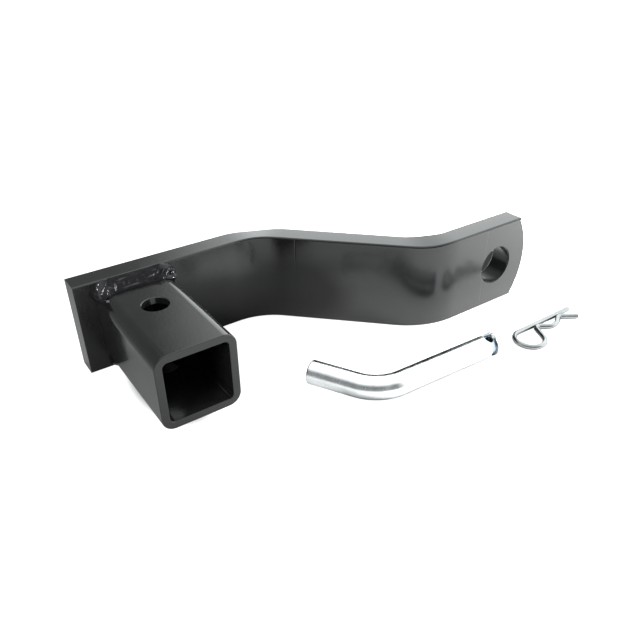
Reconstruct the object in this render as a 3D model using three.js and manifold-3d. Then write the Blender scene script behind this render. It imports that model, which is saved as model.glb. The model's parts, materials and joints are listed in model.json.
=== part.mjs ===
// Receiver drawbar for a small trailer hitch, with its bent hitch pin and R-clip.
// Millimetres, +Z up. The drawbar stands on its lower edge on the plane z = 0. X runs along
// its first straight length, and the receiver tube points to -Y. The origin is on the lower
// edge, midway through the bar's thickness, under the centre line of the receiver tube.
import * as THREE from "three";
import { mergeVertices } from "three/addons/utils/BufferGeometryUtils.js";
import Module from "manifold-3d";

const wasm = await Module();
wasm.setup();

// ---- Driving dimensions ----
const inch = 25.4;
const barHeight = 2 * inch;
const barThickness = 0.5 * inch;
const barEndToTube = 10; // from the bar's plain end to the tube's side
const firstBendAt = 74.5; // corner of the first bend, from the tube's centre line
const bendAngle = THREE.MathUtils.degToRad(45);
const bendInsideRadius = 34;
const barOffset = 69.5; // sideways step between the two straight lengths
const barReach = 209.5; // the arc end's chord, from the tube's centre line
const endArcRise = 7;
const endShoulder = 1.2; // height of the square ear left at the top and bottom of the arc end
const endEar = 0.8; // how far an ear stands out past the arc's chord
const ballHoleDiameter = 22.2;
const ballHoleFromChord = 16.7;

const tubeOutside = 40;
const tubeWall = 4;
const tubeLength = 71;
const tubeCornerRadius = 6.5;
const pinHoleDiameter = 13.3;
const pinHoleFromBar = 28;

const weldAlongTube = 7.5; // leg of a bead on the tube
const weldUpBar = 5.2; // leg of a bead on the bar's face
const weldEndSize = 0.5; // size of a bead's ends, as a share of its full size
const weldGap = 0.1;
const topWeldWrap = THREE.MathUtils.degToRad(90); // how far a bead wraps round a tube corner
const bottomWeldWrap = THREE.MathUtils.degToRad(45);

const pinDiameter = 0.5 * inch;
const pinShank = 76.9; // from the bend's corner to the nose
const pinHandle = 37.6; // from the bend's corner to the cut end
const pinBendAngle = THREE.MathUtils.degToRad(58.7);
const pinBendRadius = 22;
const pinChamfer = 1.6;
const grooveWidth = 4.6;
const grooveDepth = 1.2;
const grooveFromNose = 5.9; // nose to the middle of the groove
const crossHoleDiameter = 4.2;
const crossHoleTilt = THREE.MathUtils.degToRad(-14); // turn of the cross hole about the shank
const pinPlace = { x: 77.4, y: -110.8, turn: THREE.MathUtils.degToRad(-2.2) };

const wireDiameter = 3;
const clipLeg = 44;
const coilRadius = 8.2;
const coilTurn = THREE.MathUtils.degToRad(245);
const coilToPinch = 8.3;
const pinchRadius = 2.5;
const waveAngle = THREE.MathUtils.degToRad(34);
const waveFlank = 4.2;
const flareLength = 10;
const clipPlace = { x: 178.8, y: -109.8 };

// How finely the round shapes are divided.
const holeSides = 40;
const largeHoleSides = 48;
const crossHoleSides = 20;
const cornerSegments = 8;
const bendSegments = 14;
const endArcSegments = 24;
const weldCornerSteps = 6;
const pinSides = 24;
const pinSteps = 30;
const ringSides = 32;
const wireSides = 8;
const wireSteps = 90;
const cutMargin = 2; // how far a cutting shape reaches past the piece that it cuts
const chamferPast = 1; // the same for the two ring cutters that chamfer the pin's ends

// ---- Derived values ----
const barFront = -barThickness / 2;
const barEnd = -(tubeOutside / 2 + barEndToTube);
const barMiddle = barHeight / 2;
const ballHoleAt = barReach - ballHoleFromChord;
const tubeMouth = barFront - tubeLength;
const pinRadius = pinDiameter / 2;
const wireRadius = wireDiameter / 2;
const saddleRadius = pinRadius + wireRadius + 0.2; // the wave that hugs the pin's shank

// ---- Materials ----
const blackPaint = new THREE.MeshStandardMaterial({ color: 0x232526, roughness: 0.35, metalness: 0.2 });
const zinc = new THREE.MeshStandardMaterial({ color: 0xd6d9dc, roughness: 0.25, metalness: 1 });

// ---- Helpers ----
function solidOf(geometry, matrix) {
  const bare = new THREE.BufferGeometry();
  const loose = geometry.index ? geometry.toNonIndexed() : geometry;
  bare.setAttribute("position", loose.getAttribute("position").clone());
  if (matrix) bare.applyMatrix4(matrix);
  const merged = mergeVertices(bare, 1e-4);
  return new wasm.Manifold(
    new wasm.Mesh({
      numProp: 3,
      vertProperties: merged.attributes.position.array,
      triVerts: new Uint32Array(merged.index.array),
    }),
  );
}

function meshOf(name, solid, material) {
  const made = solid.getMesh();
  const geometry = new THREE.BufferGeometry();
  geometry.setAttribute("position", new THREE.BufferAttribute(made.vertProperties, 3));
  geometry.setIndex(new THREE.BufferAttribute(made.triVerts, 1));
  geometry.computeVertexNormals();
  const mesh = new THREE.Mesh(geometry, material);
  mesh.name = name;
  return mesh;
}

// A round bar between two points, used as a drill.
function drill(from, to, diameter, segments = holeSides) {
  const axis = new THREE.Vector3().subVectors(to, from);
  const turn = new THREE.Quaternion();
  turn.setFromUnitVectors(new THREE.Vector3(0, 1, 0), axis.clone().normalize());
  const middle = new THREE.Vector3().addVectors(from, to).multiplyScalar(0.5);
  const place = new THREE.Matrix4().compose(middle, turn, new THREE.Vector3(1, 1, 1));
  const radius = diameter / 2;
  return solidOf(new THREE.CylinderGeometry(radius, radius, axis.length(), segments), place);
}

// Turns a shape drawn in x and z, extruded by depth, so that it runs from y = start to -Y.
function alongMinusY(shape, start, depth, curveSegments = cornerSegments) {
  const geometry = new THREE.ExtrudeGeometry(shape, { depth, bevelEnabled: false, curveSegments });
  const place = new THREE.Matrix4().makeTranslation(0, start, 0);
  place.multiply(new THREE.Matrix4().makeRotationX(Math.PI / 2));
  return solidOf(geometry, place);
}

// A path drawn by going forward and turning, in the XY plane.
class WirePath {
  constructor(x, y, heading) {
    this.at = new THREE.Vector2(x, y);
    this.heading = heading;
    this.path = new THREE.CurvePath();
  }

  forward(length) {
    const next = this.at.clone();
    next.x += length * Math.cos(this.heading);
    next.y += length * Math.sin(this.heading);
    this.path.add(new THREE.LineCurve3(flat(this.at), flat(next)));
    this.at = next;
    return this;
  }

  // A positive angle turns left and a negative one turns right.
  turn(radius, angle) {
    const side = Math.sign(angle);
    const toCentre = this.heading + (side * Math.PI) / 2;
    const centre = this.at.clone();
    centre.x += radius * Math.cos(toCentre);
    centre.y += radius * Math.sin(toCentre);
    this.path.add(new PlanarArc(centre, radius, toCentre + Math.PI, angle));
    this.heading += angle;
    const last = toCentre + Math.PI + angle;
    this.at = new THREE.Vector2(centre.x + radius * Math.cos(last), centre.y + radius * Math.sin(last));
    return this;
  }
}

class PlanarArc extends THREE.Curve {
  constructor(centre, radius, start, sweep) {
    super();
    Object.assign(this, { centre, radius, start, sweep });
  }

  getPoint(t, target = new THREE.Vector3()) {
    const angle = this.start + t * this.sweep;
    const x = this.centre.x + this.radius * Math.cos(angle);
    return target.set(x, this.centre.y + this.radius * Math.sin(angle), 0);
  }
}

function flat(point) {
  return new THREE.Vector3(point.x, point.y, 0);
}

function roundBar(path, radius, steps, segments) {
  const section = new THREE.Shape();
  for (let i = 0; i < segments; i += 1) {
    const angle = (i / segments) * 2 * Math.PI;
    const point = [radius * Math.cos(angle), radius * Math.sin(angle)];
    if (i === 0) section.moveTo(...point);
    else section.lineTo(...point);
  }
  section.closePath();
  return solidOf(new THREE.ExtrudeGeometry(section, { steps, extrudePath: path, curveSegments: 1 }));
}

function roundedSquare(shape, side, radius, middleZ) {
  const half = side / 2;
  const inner = half - radius;
  shape.moveTo(inner, middleZ - half);
  shape.absarc(inner, middleZ - inner, radius, -Math.PI / 2, 0, false);
  shape.absarc(inner, middleZ + inner, radius, 0, Math.PI / 2, false);
  shape.absarc(-inner, middleZ + inner, radius, Math.PI / 2, Math.PI, false);
  shape.absarc(-inner, middleZ - inner, radius, Math.PI, 1.5 * Math.PI, false);
  shape.closePath();
  return shape;
}

// ---- Drawbar: a flat bar on edge, bent twice, with an arc end and one round hole ----
function makeDrawbar() {
  const insideRadius = bendInsideRadius;
  const outsideRadius = bendInsideRadius + barThickness;
  const middleRadius = bendInsideRadius + barThickness / 2;
  const tangent = middleRadius * Math.tan(bendAngle / 2);
  const secondBendAt = firstBendAt + barOffset / Math.tan(bendAngle);
  const firstCentre = { x: firstBendAt - tangent, y: -middleRadius };
  const secondCentre = { x: secondBendAt + tangent, y: middleRadius - barOffset };
  const farEnd = barReach + endArcRise + cutMargin;
  const quarter = Math.PI / 2;

  const plan = new THREE.Shape();
  plan.moveTo(barEnd, barFront);
  plan.lineTo(firstCentre.x, barFront);
  plan.absarc(firstCentre.x, firstCentre.y, insideRadius, quarter, quarter - bendAngle, true);
  plan.absarc(secondCentre.x, secondCentre.y, outsideRadius, -quarter - bendAngle, -quarter, false);
  plan.lineTo(farEnd, barFront - barOffset);
  plan.lineTo(farEnd, -barFront - barOffset);
  plan.absarc(secondCentre.x, secondCentre.y, insideRadius, -quarter, -quarter - bendAngle, true);
  plan.absarc(firstCentre.x, firstCentre.y, outsideRadius, quarter - bendAngle, quarter, false);
  plan.lineTo(barEnd, -barFront);
  plan.closePath();
  const blank = new THREE.ExtrudeGeometry(plan, {
    depth: barHeight,
    bevelEnabled: false,
    curveSegments: bendSegments,
  });

  const hole = drill(
    new THREE.Vector3(ballHoleAt, -barOffset - barThickness, barMiddle),
    new THREE.Vector3(ballHoleAt, -barOffset + barThickness, barMiddle),
    ballHoleDiameter,
    largeHoleSides,
  );
  return solidOf(blank).subtract(hole).subtract(makeEndCutter(farEnd));
}

// What is cut away to leave the convex arc and an ear above and below it.
function makeEndCutter(farEnd) {
  const halfChord = barHeight / 2 - endShoulder;
  const radius = (halfChord ** 2 + endArcRise ** 2) / (2 * endArcRise);
  const halfSweep = Math.asin(halfChord / radius);
  const ear = barReach + endEar;
  const past = farEnd + cutMargin;
  const [above, below] = [barHeight + cutMargin, -cutMargin];
  const waste = new THREE.Shape();
  waste.moveTo(past, below);
  waste.lineTo(past, above);
  waste.lineTo(ear, above);
  waste.lineTo(ear, barHeight - endShoulder);
  waste.lineTo(barReach, barHeight - endShoulder);
  waste.absarc(barReach + endArcRise - radius, barMiddle, radius, halfSweep, -halfSweep, true);
  waste.lineTo(ear, endShoulder);
  waste.lineTo(ear, below);
  waste.closePath();
  return alongMinusY(waste, -barOffset + barThickness, 2 * barThickness, endArcSegments);
}

// ---- Receiver tube: square steel tube with a pin hole through its top and bottom walls ----
function makeReceiverTube() {
  const outline = roundedSquare(new THREE.Shape(), tubeOutside, tubeCornerRadius, barMiddle);
  const bore = roundedSquare(
    new THREE.Path(),
    tubeOutside - 2 * tubeWall,
    tubeCornerRadius - tubeWall,
    barMiddle,
  );
  outline.holes.push(bore);
  const pinHoleAt = barFront - pinHoleFromBar;
  const pinHole = drill(
    new THREE.Vector3(0, pinHoleAt, 0),
    new THREE.Vector3(0, pinHoleAt, barHeight),
    pinHoleDiameter,
  );
  return alongMinusY(outline, barFront, tubeLength).subtract(pinHole);
}

// ---- Weld bead: runs along one side of the tube's root and wraps round both corners ----
function makeWeldBead(sideSign, wrap) {
  const inner = tubeOutside / 2 - tubeCornerRadius;
  const stations = [];
  for (let i = 0; i <= weldCornerSteps; i += 1) {
    const share = i / weldCornerSteps;
    const angle = Math.PI / 2 - wrap * (1 - share);
    const [nx, nz] = [Math.cos(angle), Math.sin(angle)];
    const size = THREE.MathUtils.lerp(weldEndSize, 1, Math.min(1, 2 * share));
    stations.push({ x: inner + tubeCornerRadius * nx, z: inner + tubeCornerRadius * nz, nx, nz, size });
  }
  const mirrored = stations.map((s) => ({ ...s, x: -s.x, nx: -s.nx })).reverse();
  const run = [...stations, ...mirrored];

  // The bead's section, as shares of its leg on the bar and its leg on the tube.
  const profile = [
    [0, 0],
    [1, 0],
    [0.86, 0.3],
    [0.64, 0.64],
    [0.3, 0.86],
    [0, 1],
  ];
  const points = [];
  for (const s of run) {
    for (const [out, deep] of profile) {
      const reach = weldGap + out * s.size * weldUpBar;
      const y = barFront - weldGap - deep * s.size * weldAlongTube;
      points.push(s.x + s.nx * reach, y, barMiddle + sideSign * (s.z + s.nz * reach));
    }
  }
  return solidOf(loft(points, run.length, profile.length, sideSign > 0));
}

// Joins rings of points, one after the other, into one closed surface with flat ends.
function loft(points, rings, perRing, flip) {
  const faces = [];
  const add = (a, b, c) => faces.push(...(flip ? [a, c, b] : [a, b, c]));
  for (let r = 0; r + 1 < rings; r += 1) {
    for (let i = 0; i < perRing; i += 1) {
      const a = r * perRing + i;
      const b = r * perRing + ((i + 1) % perRing);
      add(a, b, b + perRing);
      add(a, b + perRing, a + perRing);
    }
  }
  const last = (rings - 1) * perRing;
  for (let i = 1; i + 1 < perRing; i += 1) {
    add(0, i + 1, i);
    add(last, last + i, last + i + 1);
  }
  const geometry = new THREE.BufferGeometry();
  geometry.setAttribute("position", new THREE.Float32BufferAttribute(points, 3));
  geometry.setIndex(faces);
  return geometry;
}

// ---- Hitch pin: a bent round bar with a chamfered nose, a groove and a cross hole ----
// Its own frame has the bend's corner at the origin and the shank along +X.
function makeHitchPin() {
  const tangent = pinBendRadius * Math.tan(pinBendAngle / 2);
  const bent = new WirePath(pinShank, 0, Math.PI);
  bent.forward(pinShank - tangent);
  bent.turn(pinBendRadius, -pinBendAngle);
  bent.forward(pinHandle - tangent);
  let pin = roundBar(bent.path, pinRadius, pinSteps, pinSides);

  const nose = new THREE.Vector3(pinShank, 0, 0);
  const cutEnd = flat(bent.at);
  const shankWay = new THREE.Vector3(1, 0, 0);
  const handleWay = new THREE.Vector3(Math.cos(bent.heading), Math.sin(bent.heading), 0);
  pin = pin.subtract(chamferRing(nose, shankWay));
  pin = pin.subtract(chamferRing(cutEnd, handleWay));
  pin = pin.subtract(grooveRing());

  const holeAt = new THREE.Vector3(pinShank - grooveFromNose, 0, 0);
  const across = new THREE.Vector3(0, Math.sin(crossHoleTilt), Math.cos(crossHoleTilt));
  across.multiplyScalar(pinDiameter);
  const from = holeAt.clone().sub(across);
  const to = holeAt.clone().add(across);
  return pin.subtract(drill(from, to, crossHoleDiameter, crossHoleSides));
}

// A ring turned about the way it faces, whose inner face is a profile of [radius, height]
// points, listed from its far end back.
function turnedRing(profile, at, way) {
  const outer = pinRadius + cutMargin;
  const [first, last] = [profile[0], profile[profile.length - 1]];
  const closed = [[outer, first[1]], ...profile, [outer, last[1]], [outer, first[1]]];
  const outline = closed.map(([radius, height]) => new THREE.Vector2(radius, height));
  const turn = new THREE.Quaternion().setFromUnitVectors(new THREE.Vector3(0, 1, 0), way);
  const place = new THREE.Matrix4().compose(at, turn, new THREE.Vector3(1, 1, 1));
  return solidOf(new THREE.LatheGeometry(outline, ringSides), place);
}

function chamferRing(at, way) {
  const inner = [pinRadius - pinChamfer - chamferPast, chamferPast];
  const outer = [pinRadius + chamferPast, -pinChamfer - chamferPast];
  return turnedRing([inner, outer], at, way);
}

function grooveRing() {
  const half = grooveWidth / 2;
  const floor = pinRadius - grooveDepth;
  const at = new THREE.Vector3(pinShank - grooveFromNose, 0, 0);
  const inner = [
    [floor, half],
    [floor, -half],
  ];
  return turnedRing(inner, at, new THREE.Vector3(1, 0, 0));
}

// ---- R-clip: a straight leg, a coil, and a waved leg that hugs the pin and flares out ----
// Its own frame has the coil's top at the origin and the straight leg along +X.
function makeClip() {
  const wire = new WirePath(clipLeg, 0, Math.PI);
  wire.forward(clipLeg);
  wire.turn(coilRadius, coilTurn);
  wire.forward(coilToPinch);
  wire.turn(pinchRadius, -(coilTurn - Math.PI) - waveAngle);
  wire.forward(waveFlank);
  wire.turn(saddleRadius, 2 * waveAngle);
  wire.forward(waveFlank);
  wire.turn(pinchRadius, -2 * waveAngle);
  wire.forward(flareLength);
  return roundBar(wire.path, wireRadius, wireSteps, wireSides);
}

// ---- Assembly ----
const root = new THREE.Group();
root.add(meshOf("drawbar", makeDrawbar(), blackPaint));
root.add(meshOf("receiver_tube", makeReceiverTube(), blackPaint));
root.add(meshOf("weld_bead_top", makeWeldBead(1, topWeldWrap), blackPaint));
root.add(meshOf("weld_bead_bottom", makeWeldBead(-1, bottomWeldWrap), blackPaint));

const pin = meshOf("hitch_pin", makeHitchPin(), zinc);
pin.position.set(pinPlace.x, pinPlace.y, pinRadius);
pin.rotation.z = pinPlace.turn;
root.add(pin);

const clip = meshOf("r_clip", makeClip(), zinc);
clip.position.set(clipPlace.x, clipPlace.y, wireRadius);
root.add(clip);

export default root;
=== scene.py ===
import json
import math
from math import cos, pi, radians, sin

import bmesh
import bpy
from mathutils import Matrix, Vector, noise


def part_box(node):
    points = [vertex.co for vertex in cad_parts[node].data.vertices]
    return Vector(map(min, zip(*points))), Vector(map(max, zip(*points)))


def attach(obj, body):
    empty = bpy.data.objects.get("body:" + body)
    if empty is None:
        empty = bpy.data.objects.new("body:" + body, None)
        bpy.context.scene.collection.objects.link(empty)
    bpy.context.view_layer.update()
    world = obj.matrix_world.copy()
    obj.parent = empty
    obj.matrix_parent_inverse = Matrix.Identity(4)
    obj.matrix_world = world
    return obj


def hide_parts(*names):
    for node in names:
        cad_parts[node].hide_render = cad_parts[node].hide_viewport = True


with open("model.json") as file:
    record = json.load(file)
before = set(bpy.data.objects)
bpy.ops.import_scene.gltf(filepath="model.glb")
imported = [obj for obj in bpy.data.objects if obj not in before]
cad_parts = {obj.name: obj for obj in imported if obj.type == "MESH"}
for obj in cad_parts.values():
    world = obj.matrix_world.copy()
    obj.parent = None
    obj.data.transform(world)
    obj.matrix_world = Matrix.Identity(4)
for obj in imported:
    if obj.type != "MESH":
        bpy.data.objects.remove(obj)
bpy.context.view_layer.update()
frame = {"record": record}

MM = 0.001
QUARTER = pi / 2

# ---- Sizes that the CAD frame gives ----
bar_low, bar_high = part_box("drawbar")
tube_low, tube_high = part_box("receiver_tube")
mounts = {m["name"]: Vector(m["pos_m"]) for m in frame["record"]["mounts"]}

BAR_HEIGHT = bar_high.z - bar_low.z
BAR_MIDDLE_Z = (bar_high.z + bar_low.z) / 2
BAR_FRONT_Y = tube_high.y
BAR_THICKNESS = mounts["end_hole_back"].y - mounts["end_hole_front"].y
BAR_OFFSET = -BAR_THICKNESS / 2 - bar_low.y
TUBE_OUTSIDE = tube_high.x - tube_low.x

# ---- Sizes of the bar and tube that a box doesn't hold ----
BEND_ANGLE = radians(45)
BEND_INSIDE_RADIUS = 34 * MM
FIRST_BEND_X = 74.5 * MM
END_ARC_RISE = 7 * MM
END_SHOULDER = 1.2 * MM
END_EAR = 0.8 * MM
BALL_HOLE_RADIUS = 11.1 * MM
BALL_HOLE_FROM_CHORD = 16.7 * MM
ROLLED_EDGE_RADIUS = 1.1 * MM
CUT_EDGE_ROUND = 0.45 * MM
HOLE_CHAMFER = 0.6 * MM
OUTER_SIDE_DROP = 0.9 * MM
INNER_SIDE_RISE = 0.4 * MM
TUBE_WALL = 4 * MM
TUBE_CORNER_RADIUS = 6.5 * MM
PIN_HOLE_RADIUS = 6.65 * MM
PIN_HOLE_FROM_BAR = 28 * MM
TUBE_EDGE_ROUND = 0.5 * MM
PIN_HOLE_CHAMFER = 0.35 * MM
SCRIBED_LINES = (127.5 * MM, 238.5 * MM)

# ---- Weld beads: the blobs are extra metal where the welder stopped at each end of a run ----
WELD_ALONG_TUBE = 7.5 * MM
WELD_UP_BAR = 5.2 * MM
TOP_WELD_WRAP = radians(70)
BOTTOM_WELD_WRAP = radians(45)
WELD_BLOB = 0.9 * MM
WELD_BLOB_REACH = 4.2 * MM
WELD_TAPER = 3.0 * MM
WELD_RIPPLE = 2.3 * MM
WELD_LUMP = 1.9 * MM
WELD_SUNK = 0.3 * MM
WELD_STEP = 0.35 * MM
# How flat a bead's face is: 1 gives a round face and 2 a flat one
WELD_FLATNESS = 1.35

# ---- Pin and clip ----
PIN_RADIUS = 6.35 * MM
PIN_SHANK = 76.9 * MM
PIN_HANDLE = 37.6 * MM
PIN_BEND = radians(58.7)
PIN_BEND_RADIUS = 22 * MM
PIN_CORNER = Vector((77.4 * MM, -110.8 * MM))
PIN_TURN = radians(-2.2)
PIN_NOSE_CHAMFER = 1.6 * MM
PIN_NOSE_SLOPE = 0.8
PIN_END_ROUND = 1.0 * MM
PIN_EDGE_ROUND = 0.22 * MM
GROOVE_WIDTH = 4.6 * MM
GROOVE_DEPTH = 1.2 * MM
GROOVE_FROM_NOSE = 5.9 * MM
CROSS_HOLE_RADIUS = 2.1 * MM
CROSS_HOLE_CHAMFER = 0.2 * MM
CROSS_HOLE_TILT = radians(-14)

WIRE_RADIUS = 1.5 * MM
CLIP_START = Vector((178.8 * MM, -109.8 * MM))
CLIP_LEG = 44 * MM
COIL_RADIUS = 8.2 * MM
COIL_TURN = radians(245)
COIL_TO_PINCH = 8.3 * MM
PINCH_RADIUS = 2.5 * MM
WAVE_ANGLE = radians(34)
WAVE_FLANK = 4.2 * MM
FLARE_LENGTH = 10 * MM
SADDLE_PLAY = 0.2 * MM
SADDLE_RADIUS = PIN_RADIUS + WIRE_RADIUS + SADDLE_PLAY
WIRE_END_ROUND = 0.5 * MM


# ---- Paths and lofts ----
def walk(start, heading, moves, step):
    """Stations (point, heading, distance) of a path in the XY plane. A move is a length to go
    forward, or a (radius, angle) to turn, where a positive angle turns left."""
    at, distance = Vector(start), 0.0
    stations = [(at.copy(), heading, distance)]
    for move in moves:
        if isinstance(move, tuple):
            radius, angle = move
            side = math.copysign(1, angle)
            centre = at + side * radius * Vector((-sin(heading), cos(heading)))
            count = max(2, math.ceil(abs(angle) * radius / step), math.ceil(abs(angle) / radians(4)))
            for i in range(1, count + 1):
                turned = heading + angle * i / count
                point = centre - side * radius * Vector((-sin(turned), cos(turned)))
                stations.append((point, turned, distance + abs(angle) * radius * i / count))
            at, heading = stations[-1][0].copy(), heading + angle
            distance += abs(angle) * radius
        else:
            way = Vector((cos(heading), sin(heading)))
            count = max(1, math.ceil(move / step))
            for i in range(1, count + 1):
                stations.append((at + way * move * i / count, heading, distance + move * i / count))
            at, distance = at + way * move, distance + move
    return stations


def loft(name, rings, spans=None, capped=True):
    """A closed mesh through rings of points. spans gives each ring's distance, for the UVs."""
    mesh = bpy.data.meshes.new(name)
    bm = bmesh.new()
    rows = [[bm.verts.new(point) for point in ring] for ring in rings]
    count = len(rings[0])
    layer = bm.loops.layers.uv.new("UVMap")
    for r in range(len(rows) - 1):
        for i in range(count):
            j = (i + 1) % count
            face = bm.faces.new((rows[r][i], rows[r][j], rows[r + 1][j], rows[r + 1][i]))
            if spans:
                corners = ((r, i), (r, i + 1), (r + 1, i + 1), (r + 1, i))
                for loop, (row, column) in zip(face.loops, corners):
                    loop[layer].uv = (spans[row], column / count)
    if capped:
        bm.faces.new(list(reversed(rows[0])))
        bm.faces.new(rows[-1])
    bmesh.ops.recalc_face_normals(bm, faces=bm.faces)
    bm.to_mesh(mesh)
    bm.free()
    piece = bpy.data.objects.new(name, mesh)
    bpy.context.scene.collection.objects.link(piece)
    return piece


def end_drop(left, radius):
    """How far a rounded end of a bar falls in, at a distance left before its tip."""
    return radius * (1 - math.sqrt(max(0.0, 1 - (1 - left / radius) ** 2)))


def round_bar(name, stations, radius_at, height, segments):
    """A round bar through stations (point, heading, distance), its axis at a height above the table."""
    rings, spans = [], []
    for point, heading, distance in stations:
        side = Vector((-sin(heading), cos(heading)))
        radius = radius_at(distance)
        ring = []
        for i in range(segments):
            angle = 2 * pi * i / segments
            flat = point + side * radius * cos(angle)
            ring.append(Vector((flat.x, flat.y, height + radius * sin(angle))))
        rings.append(ring)
        spans.append(distance)
    return loft(name, rings, spans)


def bake(piece):
    """Turns a piece's modifiers into its mesh."""
    depsgraph = bpy.context.evaluated_depsgraph_get()
    mesh = bpy.data.meshes.new_from_object(piece.evaluated_get(depsgraph))
    piece.modifiers.clear()
    piece.data = mesh


def cut(piece, *cutters):
    for cutter in cutters:
        modifier = piece.modifiers.new("cut", "BOOLEAN")
        modifier.operation = "DIFFERENCE"
        modifier.solver = "EXACT"
        modifier.object = cutter
    bake(piece)
    for cutter in cutters:
        bpy.data.objects.remove(cutter, do_unlink=True)


def round_edges(piece, width, segments=3, angle=50):
    modifier = piece.modifiers.new("round", "BEVEL")
    modifier.limit_method = "ANGLE"
    modifier.angle_limit = radians(angle)
    modifier.width = width
    modifier.segments = segments
    modifier.use_clamp_overlap = True
    bake(piece)


def shade(piece, sharp_angle=40, weighted=True):
    mesh = piece.data
    mesh.shade_smooth()
    mesh.set_sharp_from_angle(angle=radians(sharp_angle))
    if weighted:
        modifier = piece.modifiers.new("normals", "WEIGHTED_NORMAL")
        modifier.keep_sharp = True
        modifier.weight = 80
        bake(piece)


def drill(start, end, radius, chamfer=0.0, segments=96):
    """A cutter for a hole from start to end, where both mouths get a 45 degree chamfer."""
    way = (end - start).normalized()
    turn = way.to_track_quat("Z", "Y").to_matrix()
    past = 4 * MM
    flare = past if chamfer else 0.0
    mouth = radius + chamfer + flare
    profile = [(start - way * past, mouth), (end + way * past, mouth)]
    if chamfer:
        profile[1:1] = [(start + way * chamfer, radius), (end - way * chamfer, radius)]
    rings = []
    for centre, reach in profile:
        ring = []
        for i in range(segments):
            angle = 2 * pi * i / segments
            ring.append(centre + turn @ Vector((reach * cos(angle), reach * sin(angle), 0)))
        rings.append(ring)
    return loft("cutter", rings)


def rounded_rectangle(half_width, half_height, radius, corner_steps):
    """Points (across, up) of a rounded rectangle about the origin, anticlockwise."""
    points = []
    for corner, (sx, sy) in enumerate(((1, -1), (1, 1), (-1, 1), (-1, -1))):
        for i in range(corner_steps + 1):
            angle = -QUARTER + corner * QUARTER + QUARTER * i / corner_steps
            across = sx * (half_width - radius) + radius * cos(angle)
            up = sy * (half_height - radius) + radius * sin(angle)
            points.append((across, up))
    return points


def finish_piece(piece, material, body, slot, *nodes):
    piece.data.materials.clear()
    piece.data.materials.append(material)
    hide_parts(*nodes)
    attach(piece, body)


# ---- Node materials ----
class Nodes:
    """A short way to build node materials. Each call adds a node and returns its output, and an
    input takes either a number or another node's output."""

    def __init__(self, owner):
        owner.use_nodes = True
        self.owner = owner
        self.tree = owner.node_tree
        self.tree.nodes.clear()

    def add(self, kind, inputs=None, **settings):
        made = self.tree.nodes.new(kind)
        for key, value in settings.items():
            setattr(made, key, value)
        for key, value in (inputs or {}).items():
            if isinstance(value, bpy.types.NodeSocket):
                self.tree.links.new(value, made.inputs[key])
            else:
                made.inputs[key].default_value = value
        return made

    def noise(self, coordinates, scale, detail=3.0, roughness=0.55):
        inputs = {"Vector": coordinates, "Scale": scale, "Detail": detail, "Roughness": roughness}
        return self.add("ShaderNodeTexNoise", inputs).outputs["Fac"]

    def spread(self, value, low, high, out_low=0.0, out_high=1.0):
        inputs = {"Value": value, "From Min": low, "From Max": high, "To Min": out_low, "To Max": out_high}
        return self.add("ShaderNodeMapRange", inputs, clamp=True).outputs["Result"]

    def math(self, operation, a, b=0.0):
        return self.add("ShaderNodeMath", {0: a, 1: b}, operation=operation).outputs[0]

    def product(self, first, *others):
        for other in others:
            first = self.math("MULTIPLY", first, other)
        return first

    def coordinates(self, kind):
        return self.add("ShaderNodeTexCoord").outputs[kind]

    def geometry(self, kind):
        return self.add("ShaderNodeNewGeometry").outputs[kind]

    def part(self, vector, axis):
        """One of a vector's three numbers: X, Y or Z."""
        return self.add("ShaderNodeSeparateXYZ", {"Vector": vector}).outputs[axis]

    def stretched(self, vector, scale):
        return self.add("ShaderNodeMapping", {"Vector": vector, "Scale": scale}).outputs["Vector"]

    def mix(self, factor, a, b):
        """Mixes two colours: sockets 0, 6 and 7 of a colour mix are its factor, A and B."""
        return self.add("ShaderNodeMix", {0: factor, 6: a, 7: b}, data_type="RGBA").outputs[2]

    def bump(self, height, distance, strength=1.0, normal=None):
        inputs = {"Height": height, "Distance": distance, "Strength": strength}
        if normal is not None:
            inputs["Normal"] = normal
        return self.add("ShaderNodeBump", inputs).outputs["Normal"]

    def along(self, vector, axis):
        """How far a vector reaches along an axis: their dot product."""
        dot = self.add("ShaderNodeVectorMath", {0: vector, 1: axis}, operation="DOT_PRODUCT")
        return dot.outputs["Value"]

    def edge_mask(self, radius, low, high):
        """1 on convex edges within radius, 0 on flats."""
        rounded = self.add("ShaderNodeBevel", {"Radius": radius}, samples=4).outputs["Normal"]
        return self.spread(self.along(rounded, self.geometry("Normal")), low, high, 1.0, 0.0)

    def finish(self, **inputs):
        named = {key.replace("_", " "): value for key, value in inputs.items()}
        shader = self.add("ShaderNodeBsdfPrincipled", named)
        self.add("ShaderNodeOutputMaterial", {"Surface": shader.outputs["BSDF"]})
        return self.owner


def grey(level, tint=(1.0, 1.0, 1.0)):
    return (level * tint[0], level * tint[1], level * tint[2], 1.0)


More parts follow.
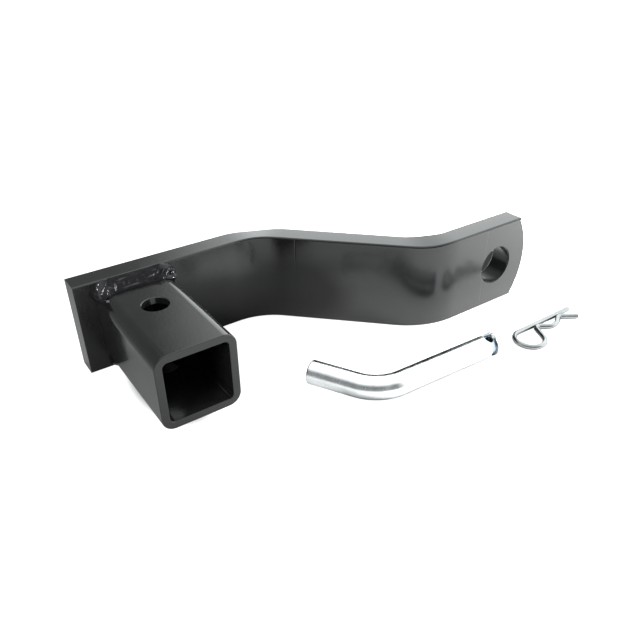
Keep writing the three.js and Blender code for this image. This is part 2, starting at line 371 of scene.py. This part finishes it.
def black_paint(name, level=0.006, smooth=0.12, rough=0.21, shine=0.5, scribed=()):
    """Sprayed satin black over rolled steel: orange peel, faint mill waves, a painted highlight along
    the edges in broken patches, and lines scribed across the bar's front face at the given distances along
    it."""
    nodes = Nodes(bpy.data.materials.new(name))
    place = nodes.coordinates("Object")
    blotch = nodes.noise(place, 55.0, 4.0)
    peel = nodes.noise(place, 620.0, 2.0)
    speck = nodes.noise(place, 2600.0, 2.0)
    waves = nodes.noise(place, 38.0, 2.0)
    # Painted highlight: the colour is lightened along the edges, in patches broken up by noise.
    edge = nodes.edge_mask(0.7 * MM, 0.9, 0.995)
    highlight_breakup = nodes.spread(nodes.noise(place, 900.0, 5.0), 0.5, 0.62, 0.35, 1.0)
    painted_edge_highlight = nodes.product(edge, highlight_breakup, 0.55)
    cool, warm = grey(level * 0.75, (0.96, 1.0, 1.03)), grey(level * 1.3, (1.0, 1.0, 0.98))
    color = nodes.mix(painted_edge_highlight, nodes.mix(blotch, cool, warm), grey(0.03, (1.0, 0.99, 0.97)))
    patchy = nodes.math("ADD", blotch, nodes.math("MULTIPLY", speck, 0.25))
    roughness = nodes.spread(patchy, 0.4, 0.85, smooth, rough)
    normal = nodes.bump(waves, 0.12 * MM, 0.5)
    run = nodes.part(nodes.coordinates("UV"), "X")
    frontward = nodes.along(nodes.geometry("Normal"), (-0.38, -0.92, 0.0))
    on_front = nodes.spread(frontward, 0.5, 0.8, 0.0, 0.45)
    for distance in scribed:
        off_line = nodes.math("ABSOLUTE", nodes.math("SUBTRACT", run, distance))
        groove = nodes.spread(off_line, 0.05 * MM, 0.4 * MM)
        normal = nodes.bump(groove, 0.12 * MM, on_front, normal)
    normal = nodes.bump(peel, 0.035 * MM, 0.6, normal)
    normal = nodes.bump(speck, 0.008 * MM, 0.5, normal)
    return nodes.finish(
        Base_Color=color, Roughness=roughness, Normal=normal, IOR=1.5, Specular_IOR_Level=shine
    )


def weld_paint():
    """The same paint over a weld: dull with glossy streaks along the run, pooled and lumpy on the
    blobs, which are more than 13 mm to either side of the tube's middle."""
    nodes = Nodes(bpy.data.materials.new("painted_weld"))
    place = nodes.coordinates("Object")
    blob = nodes.spread(nodes.math("ABSOLUTE", nodes.part(place, "X")), 13 * MM, 17 * MM)
    lumps = nodes.noise(place, 520.0, 3.0)
    fine = nodes.noise(place, 1900.0, 3.0)
    color = nodes.mix(lumps, grey(0.002, (1.0, 1.0, 1.15)), grey(0.005, (1.0, 1.0, 1.1)))
    patchy = nodes.spread(fine, 0.35, 0.7, 0.03, 0.11)
    roughness = nodes.math("ADD", patchy, nodes.spread(blob, 0.0, 1.0, 0.16, 0.0))
    runs = nodes.noise(nodes.stretched(place, (110.0, 900.0, 900.0)), 1.0, 3.0)
    streak = nodes.spread(runs, 0.56, 0.7, 0.02, 0.35)
    shine = nodes.spread(blob, 0.0, 1.0, streak, 0.2)
    relief = nodes.math("MULTIPLY", lumps, nodes.spread(blob, 0.0, 1.0, 0.15, 1.0))
    normal = nodes.bump(relief, 0.5 * MM, 0.9)
    normal = nodes.bump(fine, 0.05 * MM, 0.6, normal)
    return nodes.finish(
        Base_Color=color, Roughness=roughness, Normal=normal, IOR=1.5, Specular_IOR_Level=shine
    )


def zinc(name, level=0.74, tint=(0.975, 1.0, 1.01), smooth=0.15, rough=0.3, rim=0.3, low=0.85):
    """Bright zinc plate over drawn steel: faint lengthwise draw lines, cloudy patches, dull specks,
    a painted dark reflection at a shallow angle, whose strength is rim, and painted shade on the
    side close to the table, whose strength is low."""
    nodes = Nodes(bpy.data.materials.new(name))
    place = nodes.coordinates("Object")
    lines = nodes.stretched(nodes.coordinates("UV"), (18.0, 60.0, 1.0))
    draw = nodes.noise(lines, 1.0, 4.0, 0.6)
    cloud = nodes.noise(place, 130.0, 4.0)
    speck = nodes.noise(place, 1500.0, 3.0)
    dull = nodes.spread(speck, 0.62, 0.74)
    cloudy = nodes.spread(cloud, 0.35, 0.65)
    plate = nodes.mix(cloudy, grey(level * 0.88, tint), grey(level * 1.06, tint))
    color = nodes.mix(nodes.math("MULTIPLY", dull, 0.35), plate, grey(level * 0.62, tint))
    # Painted dark reflection: the colour darkens where the surface is seen at a shallow angle.
    shallow = nodes.add("ShaderNodeLayerWeight", {"Blend": 0.5}).outputs["Facing"]
    color = nodes.mix(nodes.spread(shallow, 0.5, 0.95, 0.0, rim), color, grey(level * 0.12, tint))
    # Painted shade: the colour darkens on the side close to the table.
    painted_table_shade = nodes.spread(nodes.part(nodes.geometry("Position"), "Z"), 0.8 * MM, 5.5 * MM, low, 0.0)
    color = nodes.mix(painted_table_shade, color, grey(level * 0.2, tint))
    streaky = nodes.math("ADD", cloud, nodes.math("MULTIPLY", draw, 0.35))
    base = nodes.spread(streaky, 0.45, 0.9, smooth, rough)
    roughness = nodes.math("ADD", base, nodes.math("MULTIPLY", dull, 0.15))
    normal = nodes.bump(draw, 0.02 * MM, 0.35)
    normal = nodes.bump(speck, 0.006 * MM, 0.4, normal)
    edge_tint = grey(1.0 - 0.6 * rim, tint)
    return nodes.finish(
        Base_Color=color, Roughness=roughness, Metallic=1.0, Normal=normal, Specular_Tint=edge_tint
    )


# ---- Drawbar ----
def bar_path():
    """Stations along the middle of the bar's thickness, to a little past the tip of its arc end."""
    middle_radius = BEND_INSIDE_RADIUS + BAR_THICKNESS / 2
    tangent = middle_radius * math.tan(BEND_ANGLE / 2)
    slope = BAR_OFFSET / sin(BEND_ANGLE)
    second_x = FIRST_BEND_X + BAR_OFFSET / math.tan(BEND_ANGLE)
    past_end = bar_high.x + 4 * MM
    moves = [
        FIRST_BEND_X - tangent - bar_low.x,
        (middle_radius, -BEND_ANGLE),
        slope - 2 * tangent,
        (middle_radius, BEND_ANGLE),
        past_end - second_x - tangent,
    ]
    return walk((bar_low.x, 0.0), 0.0, moves, 6 * MM)


def bar_bend_share(station):
    """How far a station is into a bend, from 0 on the straights to 1 in its middle. Then 1 where
    the bend's outer side is the bar's back face, or -1 where it is the front."""
    heading = -station[1] / BEND_ANGLE
    share = sin(pi * heading) ** 2
    first = station[0].x < FIRST_BEND_X + BAR_OFFSET / 2
    return share, (1 if first else -1)


def make_drawbar(material, bore_material):
    """The bent bar, with its hole and arc end cut. Bending draws the top edge down on the outer
    side and lifts it on the inner side. The lower edge stays flat on the table."""
    section = rounded_rectangle(BAR_THICKNESS / 2, BAR_HEIGHT / 2, ROLLED_EDGE_RADIUS, 5)
    rings, spans = [], []
    for station in bar_path():
        point, heading, distance = station
        side = Vector((-sin(heading), cos(heading)))
        share, outer_side = bar_bend_share(station)
        ring = []
        for across, up in section:
            outward = outer_side * across / (BAR_THICKNESS / 2)
            lift = -OUTER_SIDE_DROP * outward if outward > 0 else -INNER_SIDE_RISE * outward
            height = up + share * lift * max(0.0, up / (BAR_HEIGHT / 2))
            flat = point + side * across
            ring.append(Vector((flat.x, flat.y, BAR_MIDDLE_Z + height)))
        rings.append(ring)
        spans.append(distance)
    bar = loft("drawbar_body", rings, spans)
    hole_x = bar_high.x - END_ARC_RISE - BALL_HOLE_FROM_CHORD
    front = Vector((hole_x, -BAR_OFFSET - BAR_THICKNESS / 2, BAR_MIDDLE_Z))
    back = Vector((hole_x, -BAR_OFFSET + BAR_THICKNESS / 2, BAR_MIDDLE_Z))
    cut(bar, end_cutter(), drill(front, back, BALL_HOLE_RADIUS, HOLE_CHAMFER))
    round_edges(bar, CUT_EDGE_ROUND)
    shade(bar)
    finish_piece(bar, material, "hitch", "black_paint", "drawbar")
    bar.data.materials.append(bore_material)
    for face in bar.data.polygons:
        from_axis = Vector((face.center.x - hole_x, face.center.z - BAR_MIDDLE_Z)).length
        if from_axis < BALL_HOLE_RADIUS + HOLE_CHAMFER and abs(face.normal.y) < 0.9:
            face.material_index = 1


def end_cutter():
    """The waste outside the arc end: a plate with the arc as one side, between two small ears."""
    half = BAR_HEIGHT / 2
    half_chord = half - END_SHOULDER
    radius = (half_chord ** 2 + END_ARC_RISE ** 2) / (2 * END_ARC_RISE)
    chord_x = bar_high.x - END_ARC_RISE
    sweep = math.asin(half_chord / radius)
    past = 10 * MM
    ear_x = chord_x + END_EAR
    outline = [(ear_x, half + past), (ear_x, half_chord), (chord_x, half_chord)]
    steps = 48
    for i in range(1, steps):
        angle = sweep * (1 - 2 * i / steps)
        outline.append((bar_high.x - radius + radius * cos(angle), radius * sin(angle)))
    outline += [(chord_x, -half_chord), (ear_x, -half_chord), (ear_x, -half - past)]
    outline += [(bar_high.x + past, -half - past), (bar_high.x + past, half + past)]
    rings = []
    for y in (-BAR_OFFSET - BAR_THICKNESS, -BAR_OFFSET + BAR_THICKNESS):
        rings.append([Vector((x, y, BAR_MIDDLE_Z + z)) for x, z in outline])
    return loft("cutter", rings)


# ---- Receiver tube ----
def make_tube(material):
    """A square tube lofted through four rings, out along its outside and back along its bore."""
    outer = rounded_rectangle(TUBE_OUTSIDE / 2, TUBE_OUTSIDE / 2, TUBE_CORNER_RADIUS, 10)
    half_bore = TUBE_OUTSIDE / 2 - TUBE_WALL
    inner = rounded_rectangle(half_bore, half_bore, TUBE_CORNER_RADIUS - TUBE_WALL, 10)

    def ring(outline, y):
        return [Vector((x, y, BAR_MIDDLE_Z + z)) for x, z in outline]

    mouth, length = tube_low.y, BAR_FRONT_Y - tube_low.y
    rings = [ring(outer, BAR_FRONT_Y), ring(outer, mouth), ring(inner, mouth), ring(inner, BAR_FRONT_Y)]
    rings.append(rings[0])
    spans = [0, length, length + TUBE_WALL, 2 * length + TUBE_WALL, 2 * (length + TUBE_WALL)]
    tube = loft("receiver_tube_body", rings, spans, capped=False)
    closed = bmesh.new()
    closed.from_mesh(tube.data)
    bmesh.ops.remove_doubles(closed, verts=closed.verts, dist=1e-7)
    bmesh.ops.recalc_face_normals(closed, faces=closed.faces)
    closed.to_mesh(tube.data)
    closed.free()
    hole_y = BAR_FRONT_Y - PIN_HOLE_FROM_BAR
    top, bottom = Vector((0, hole_y, tube_high.z)), Vector((0, hole_y, tube_low.z))
    cut(tube, drill(top, bottom, PIN_HOLE_RADIUS, PIN_HOLE_CHAMFER))
    round_edges(tube, TUBE_EDGE_ROUND)
    shade(tube)
    finish_piece(tube, material, "hitch", "black_paint", "receiver_tube")


# ---- Weld beads ----
def weld_run(wrap):
    """Stations along the tube's upper outline, each a point, the normal outward, the distance and
    the nearness to a blob. Then the length of the whole run."""
    inner = TUBE_OUTSIDE / 2 - TUBE_CORNER_RADIUS
    corner = TUBE_CORNER_RADIUS * wrap
    length = 2 * corner + 2 * inner
    blob_at = corner * 0.6
    count = math.ceil(length / WELD_STEP)
    stations = []
    for i in range(count + 1):
        t = length * i / count
        past_first = t - corner
        if past_first < 0 or past_first > 2 * inner:
            side = 1 if past_first < 0 else -1
            turned = (-past_first if past_first < 0 else past_first - 2 * inner) / TUBE_CORNER_RADIUS
            normal = Vector((side * sin(turned), cos(turned)))
            point = Vector((side * inner, inner)) + normal * TUBE_CORNER_RADIUS
        else:
            normal = Vector((0, 1))
            point = Vector((inner - past_first, inner + TUBE_CORNER_RADIUS))
        near = math.exp(-((min(t, length - t) - blob_at) / WELD_BLOB_REACH) ** 2)
        stations.append((point, normal, t, near))
    return stations, length


def make_bead(name, node, side_sign, wrap, blob, material, seed):
    """A fillet with faint ripples, and a lumpy blob of weld metal at each corner if blob isn't 0."""
    stations, length = weld_run(wrap)
    around = 26
    rings = []
    for point, normal, t, near in stations:
        left = min(t, length - t)
        taper = math.sqrt(max(0.02, 1 - max(0.0, 1 - left / WELD_TAPER) ** 2))
        ring = []
        for v in range(around):
            angle = QUARTER * v / (around - 1)
            # The ripples bow along the run. The lumps vary round the fillet as well as along it.
            crescent = sin(2 * pi * (t / WELD_RIPPLE + 0.5 * sin(2 * angle)))
            at = Vector((point.x + angle * 3.2 * MM, point.y + angle * 2.1 * MM, t * 0.3)) / WELD_LUMP
            lump = noise.noise(at + Vector((seed, 0, 0))) * (0.03 + 0.5 * near * blob / WELD_BLOB)
            swell = taper * (1 + sin(2 * angle) * (0.005 * crescent + lump))
            out = swell * (WELD_UP_BAR + blob * near * 0.4) * cos(angle) ** WELD_FLATNESS
            deep = swell * (WELD_ALONG_TUBE + blob * near) * sin(angle) ** WELD_FLATNESS
            if v == 0:
                deep = -WELD_SUNK
            if v == around - 1:
                out = -WELD_SUNK
            flat = point + normal * out
            ring.append(Vector((flat.x, BAR_FRONT_Y - deep, BAR_MIDDLE_Z + side_sign * flat.y)))
        root = point - normal * WELD_SUNK
        ring.append(Vector((root.x, BAR_FRONT_Y + WELD_SUNK, BAR_MIDDLE_Z + side_sign * root.y)))
        rings.append(ring)
    bead = loft(name, rings)
    shade(bead, 60, weighted=False)
    finish_piece(bead, material, "hitch", "painted_weld", node)
    return bead


# ---- Hitch pin ----
def make_pin(material, groove_material):
    """A round bar from the nose, along the shank, round the bend and along the handle. Then the
    cross hole is cut through the groove."""
    tangent = PIN_BEND_RADIUS * math.tan(PIN_BEND / 2)
    shank_way = Vector((cos(PIN_TURN), sin(PIN_TURN)))
    nose = PIN_CORNER + shank_way * PIN_SHANK
    moves = [PIN_SHANK - tangent, (PIN_BEND_RADIUS, -PIN_BEND), PIN_HANDLE - tangent]
    stations = walk(nose, PIN_TURN + pi, moves, 3 * MM)
    total = stations[-1][2]

    def radius_at(distance):
        """The pin's radius: chamfered nose, groove, plain shank and handle, rounded cut end."""
        if distance < PIN_NOSE_CHAMFER:
            return PIN_RADIUS - PIN_NOSE_SLOPE * (PIN_NOSE_CHAMFER - distance)
        if abs(distance - GROOVE_FROM_NOSE) <= GROOVE_WIDTH / 2:
            return PIN_RADIUS - GROOVE_DEPTH
        left = total - distance
        if left < PIN_END_ROUND:
            return PIN_RADIUS - end_drop(left, PIN_END_ROUND)
        return PIN_RADIUS

    def station_at(distance):
        for a, b in zip(stations, stations[1:]):
            if a[2] <= distance <= b[2]:
                share = (distance - a[2]) / (b[2] - a[2])
                return a[0].lerp(b[0], share), a[1] + (b[1] - a[1]) * share, distance
        return stations[-1][0], stations[-1][1], distance

    tiny = 0.02 * MM
    groove_from = GROOVE_FROM_NOSE - GROOVE_WIDTH / 2
    groove_to = GROOVE_FROM_NOSE + GROOVE_WIDTH / 2
    marks = {0.0, 0.5 * PIN_NOSE_CHAMFER, PIN_NOSE_CHAMFER, GROOVE_FROM_NOSE}
    marks |= {groove_from - tiny, groove_from + tiny, groove_to - tiny, groove_to + tiny}
    marks |= {total - PIN_END_ROUND * (1 - cos(QUARTER * i / 6)) for i in range(7)}
    marks |= {s[2] for s in stations if groove_to + 2 * MM < s[2] < total - 2 * MM}
    ringed = [station_at(distance) for distance in sorted(marks)]
    pin = round_bar("hitch_pin_body", ringed, radius_at, PIN_RADIUS, 96)

    centre = nose - shank_way * GROOVE_FROM_NOSE
    tilt_x, tilt_y = -shank_way.y * sin(CROSS_HOLE_TILT), shank_way.x * sin(CROSS_HOLE_TILT)
    middle = Vector((centre.x, centre.y, PIN_RADIUS))
    reach = Vector((tilt_x, tilt_y, cos(CROSS_HOLE_TILT))) * (PIN_RADIUS - GROOVE_DEPTH)
    cut(pin, drill(middle - reach, middle + reach, CROSS_HOLE_RADIUS, CROSS_HOLE_CHAMFER, 48))
    round_edges(pin, PIN_EDGE_ROUND, 2, 38)
    shade(pin, 50)
    finish_piece(pin, material, "pin", "zinc_plate", "hitch_pin")
    pin.data.materials.append(groove_material)
    for face in pin.data.polygons:
        flat = Vector((face.center.x, face.center.y)) - centre
        if abs(flat.dot(shank_way)) < GROOVE_WIDTH / 2 + tiny:
            face.material_index = 1


# ---- R-clip ----
def make_clip(material):
    """One wire from the tip of its straight leg, round the coil, and back along the waved leg."""
    moves = [
        CLIP_LEG,
        (COIL_RADIUS, COIL_TURN),
        COIL_TO_PINCH,
        (PINCH_RADIUS, -(COIL_TURN - pi) - WAVE_ANGLE),
        WAVE_FLANK,
        (SADDLE_RADIUS, 2 * WAVE_ANGLE),
        WAVE_FLANK,
        (PINCH_RADIUS, -2 * WAVE_ANGLE),
        FLARE_LENGTH,
    ]
    tip = CLIP_START + Vector((CLIP_LEG, 0))
    stations = walk(tip, pi, moves, 1.5 * MM)
    total = stations[-1][2]

    def radius_at(distance):
        left = min(distance, total - distance, WIRE_END_ROUND)
        return WIRE_RADIUS - end_drop(left, WIRE_END_ROUND)

    def cap(station, direction, start):
        """Stations that close in towards one end of the wire, from its tip inwards."""
        point, heading, _ = station
        way = Vector((cos(heading), sin(heading))) * direction
        steps = [WIRE_END_ROUND * (1 - cos(QUARTER * i / 4)) for i in range(5)]
        return [(point + way * step, heading, start + direction * step) for step in steps]

    inside = [s for s in stations if WIRE_END_ROUND < s[2] < total - WIRE_END_ROUND]
    ringed = cap(stations[0], 1, 0.0) + inside + cap(stations[-1], -1, total)[::-1]
    clip = round_bar("r_clip_wire", ringed, radius_at, WIRE_RADIUS, 32)
    shade(clip, 60, weighted=False)
    finish_piece(clip, material, "clip", "zinc_wire", "r_clip")


# ---- Studio ----
WALL_LIGHT = 0.35
ROOF_LIGHT = 1.9
PANEL_LIGHT = 2.6
SEEN_WORLD_LIGHT = 1.1

# The white panel's two edges, in degrees from +X, anticlockwise from above
PANEL_LEFT = 64.0
PANEL_RIGHT = -70.0

# The dark viewer's direction, and the one along the table towards the key lamp
VIEWER = Vector((-0.50, -0.62, 0.60)).normalized()
TOWARDS_KEY = (0.8, -0.6, 0.0)

LAMP_SIZE = 0.15
KEY_POWER, KEY_PLACE, KEY_TARGET = 4.8, (0.50, -0.20, 0.20), (0.14, -0.09, 0.0)
LEFT_POWER, LEFT_PLACE, LEFT_TARGET = 1.9, (-0.40, -0.22, 0.22), (-0.04, -0.03, 0.0)
SPARKLE_POWER, SPARKLE_PLACE, SPARKLE_TARGET = 22.0, (-0.14, -0.19, 0.81), (0.0, -0.01, 0.045)
SPARKLE_SIZE = 0.16

CAMERA_PLACE = (-0.0895, -0.3011, 0.2055)
CAMERA_YAW, CAMERA_PITCH, CAMERA_ROLL = radians(34.72), radians(32.15), radians(-0.47)
CAMERA_LENS = 37.07

# Painted shadows on the table, as dark ovals: the middle's x and y, then the reach along x and y,
# in millimetres. The camera sees the first two. The third is seen only in reflections.
PAINTED_SHADOW_UNDER_TUBE = (0, -37, 22, 42)
PAINTED_SHADOW_BEHIND_END_HOLE = (232, -35, 28, 24)
PAINTED_SHADE_BY_FIRST_BEND = (52, -34, 60, 50)

# From the middle of the painted shadow behind the end hole towards the camera
HOLE_TO_CAMERA = (Vector(CAMERA_PLACE) - Vector((*PAINTED_SHADOW_BEHIND_END_HOLE[:2], 0)) * MM).normalized()


def oval(nodes, place, patch):
    """0 in the middle of a patch of the table, rising to 1 at its rim and outside it."""
    x, y, reach_x, reach_y = patch
    middle = Vector((x, y, 0)) * MM
    offset = nodes.add("ShaderNodeVectorMath", {0: place, 1: middle}, operation="SUBTRACT")
    shares = {0: offset.outputs[0], 1: (1000 / reach_x, 1000 / reach_y, 0.0)}
    scaled = nodes.add("ShaderNodeVectorMath", shares, operation="MULTIPLY")
    distance = nodes.add("ShaderNodeVectorMath", {0: scaled.outputs[0]}, operation="LENGTH")
    return nodes.spread(distance.outputs["Value"], 0.6, 0.92)


def white_table():
    """A table that the camera sees as even white, with painted shadows under the tube and behind the
    end hole. The second shows only from near the camera's own side. Reflections see the table
    greyer, with painted shade darkest far from the key lamp and by the first bend, and a painted
    glow close to the right half of the bar."""
    nodes = Nodes(bpy.data.materials.new("white_table"))
    place = nodes.geometry("Position")
    grain = nodes.spread(nodes.noise(place, 90.0, 4.0), 0.3, 0.7, 0.96, 1.0)
    # Painted light: the table's colour is lighter towards the key lamp and darker away from it.
    painted_key_light = nodes.spread(nodes.along(place, TOWARDS_KEY), -100 * MM, 180 * MM, 0.2, 0.82)
    # Painted shade by the first bend, seen only in reflections.
    painted_bend_shade = nodes.spread(oval(nodes, place, PAINTED_SHADE_BY_FIRST_BEND), 0.0, 1.0, 0.4, 1.0)

    to_camera = nodes.along(nodes.geometry("Incoming"), HOLE_TO_CAMERA)
    off_axis = nodes.spread(to_camera, cos(radians(20)), cos(radians(12)), 1.0, 0.0)
    behind_hole = nodes.math("MAXIMUM", oval(nodes, place, PAINTED_SHADOW_BEHIND_END_HOLE), off_axis)
    open_table = nodes.product(oval(nodes, place, PAINTED_SHADOW_UNDER_TUBE), behind_hole)
    # Painted shadow: inside the ovals the table's colour falls almost to black, and the camera's lift is
    # taken away.
    lit = nodes.spread(open_table, 0.0, 1.0, 0.02, 1.0)
    diffuse = nodes.add("ShaderNodeBsdfDiffuse", {"Color": nodes.product(painted_key_light, painted_bend_shade, grain, lit)})

    seen = nodes.add("ShaderNodeLightPath").outputs["Is Camera Ray"]
    lift = nodes.product(open_table, seen, 0.9)
    # Painted glow: close to the right half of the bar, the table glows for every ray but the camera's,
    # more where it is hemmed in.
    closeness = nodes.add("ShaderNodeAmbientOcclusion", {"Distance": 60 * MM}, samples=4)
    painted_bounce_glow = nodes.product(
        nodes.spread(closeness.outputs["AO"], 0.35, 1.0, 1.2, 0.0),
        nodes.spread(nodes.along(place, TOWARDS_KEY), 50 * MM, 110 * MM),
        nodes.spread(nodes.part(place, "Y"), -100 * MM, -85 * MM),
        nodes.math("SUBTRACT", 1.0, seen),
    )
    glow = nodes.add("ShaderNodeEmission", {"Strength": nodes.math("ADD", lift, painted_bounce_glow)})
    both = nodes.add("ShaderNodeAddShader", {0: diffuse.outputs[0], 1: glow.outputs[0]})
    nodes.add("ShaderNodeOutputMaterial", {"Surface": both.outputs[0]})
    return nodes.owner


def make_floor():
    mesh = bpy.data.meshes.new("floor")
    bm = bmesh.new()
    bmesh.ops.create_grid(bm, x_segments=1, y_segments=1, size=12.0)
    bm.to_mesh(mesh)
    bm.free()
    floor = bpy.data.objects.new("floor", mesh)
    bpy.context.scene.collection.objects.link(floor)
    floor.location.z = -0.1 * MM
    floor.data.materials.append(white_table())


def add_softbox(name, place, target, size, power, only_on=()):
    """A square lamp aimed at a target. It lights the table and shows in no gloss, unless it is
    there for the highlights of a few pieces only."""
    light = bpy.data.lights.new(name, "AREA")
    light.shape = "SQUARE"
    light.size = size
    light.energy = power
    lamp = bpy.data.objects.new(name, light)
    lamp.location = place
    lamp.rotation_mode = "QUATERNION"
    lamp.rotation_quaternion = (Vector(target) - Vector(place)).to_track_quat("-Z", "Y")
    if only_on:
        receivers = bpy.data.collections.new(name + "_pieces")
        for piece in only_on:
            receivers.objects.link(piece)
        lamp.light_linking.receiver_collection = receivers
    else:
        lamp.visible_glossy = False
    bpy.context.scene.collection.objects.link(lamp)


def make_world():
    """A light tent: dim walls, a bright roof, a white panel on the right and a dark viewer. The
    camera itself sees white behind everything."""
    nodes = Nodes(bpy.data.worlds.new("studio"))
    way = nodes.coordinates("Generated")
    height = nodes.part(way, "Z")
    sky = nodes.spread(height, sin(radians(37)), sin(radians(62)), WALL_LIGHT, ROOF_LIGHT)

    left, right = radians(PANEL_LEFT), radians(PANEL_RIGHT)
    from_left = nodes.spread(nodes.along(way, (sin(left), -cos(left), 0.0)), -0.12, 0.06)
    from_right = nodes.spread(nodes.along(way, (-sin(right), cos(right), 0.0)), -0.1, 0.3)
    below_top = nodes.spread(height, 0.9, 0.6)
    panel = nodes.product(from_left, from_right, below_top, PANEL_LIGHT)
    near_viewer = nodes.along(way, VIEWER)
    shadow = nodes.spread(near_viewer, cos(radians(26)), cos(radians(15)), 1.0, 0.7)
    light = nodes.product(nodes.math("ADD", sky, panel), shadow)
    seen = nodes.add("ShaderNodeLightPath").outputs["Is Camera Ray"]
    light = nodes.math("MAXIMUM", light, nodes.product(seen, SEEN_WORLD_LIGHT))
    tint = grey(1.0, (0.96, 1.0, 1.0))
    background = nodes.add("ShaderNodeBackground", {"Color": tint, "Strength": light})
    nodes.add("ShaderNodeOutputWorld", {"Surface": background.outputs["Background"]})
    bpy.context.scene.world = nodes.owner


def make_camera():
    """The camera that was fitted to the photo. Yaw turns right from +Y and pitch is downwards."""
    flat = cos(CAMERA_PITCH)
    forward = Vector((sin(CAMERA_YAW) * flat, cos(CAMERA_YAW) * flat, -sin(CAMERA_PITCH)))
    level = forward.cross(Vector((0, 0, 1))).normalized()
    above = level.cross(forward)
    right = level * cos(CAMERA_ROLL) + above * sin(CAMERA_ROLL)
    up = above * cos(CAMERA_ROLL) - level * sin(CAMERA_ROLL)
    data = bpy.data.cameras.new("camera")
    data.sensor_width = 36.0
    data.lens = CAMERA_LENS
    data.clip_start = 0.01
    camera = bpy.data.objects.new("camera", data)
    turn = Matrix((right, up, -forward)).transposed().to_4x4()
    camera.matrix_world = Matrix.Translation(CAMERA_PLACE) @ turn
    bpy.context.scene.collection.objects.link(camera)
    bpy.context.scene.camera = camera


# ---- Build ----
bead_paint = weld_paint()
bar_paint = black_paint("bar_paint", scribed=SCRIBED_LINES)
# The bore paint is darker than the faces, as painted shade in the hole, and it shines less.
make_drawbar(bar_paint, black_paint("bore_paint", 0.004, 0.1, 0.3, 0.2))
make_tube(black_paint("tube_paint", 0.006, 0.09, 0.17))
weld_top = make_bead("weld_top", "weld_bead_top", 1, TOP_WELD_WRAP, WELD_BLOB, bead_paint, 1.7)
weld_bottom = make_bead("weld_bottom", "weld_bead_bottom", -1, BOTTOM_WELD_WRAP, 0.0, bead_paint, 8.3)
# The groove's zinc is darker and bluer than the pin's: its darkness is painted shade in the groove and
# cross hole.
make_pin(zinc("zinc_plate", rim=0.16), zinc("zinc_groove", 0.4, (0.86, 0.97, 1.08), 0.2, 0.35))
make_clip(zinc("zinc_wire", 0.41, smooth=0.14, rough=0.26, rim=0.45, low=0.6))

make_floor()
make_world()
beads = (weld_top, weld_bottom)
add_softbox("key_right", KEY_PLACE, KEY_TARGET, LAMP_SIZE, KEY_POWER)
add_softbox("low_left", LEFT_PLACE, LEFT_TARGET, LAMP_SIZE, LEFT_POWER)
add_softbox("sparkle_above", SPARKLE_PLACE, SPARKLE_TARGET, SPARKLE_SIZE, SPARKLE_POWER, beads)
make_camera()
bpy.context.scene.view_settings.view_transform = "Standard"
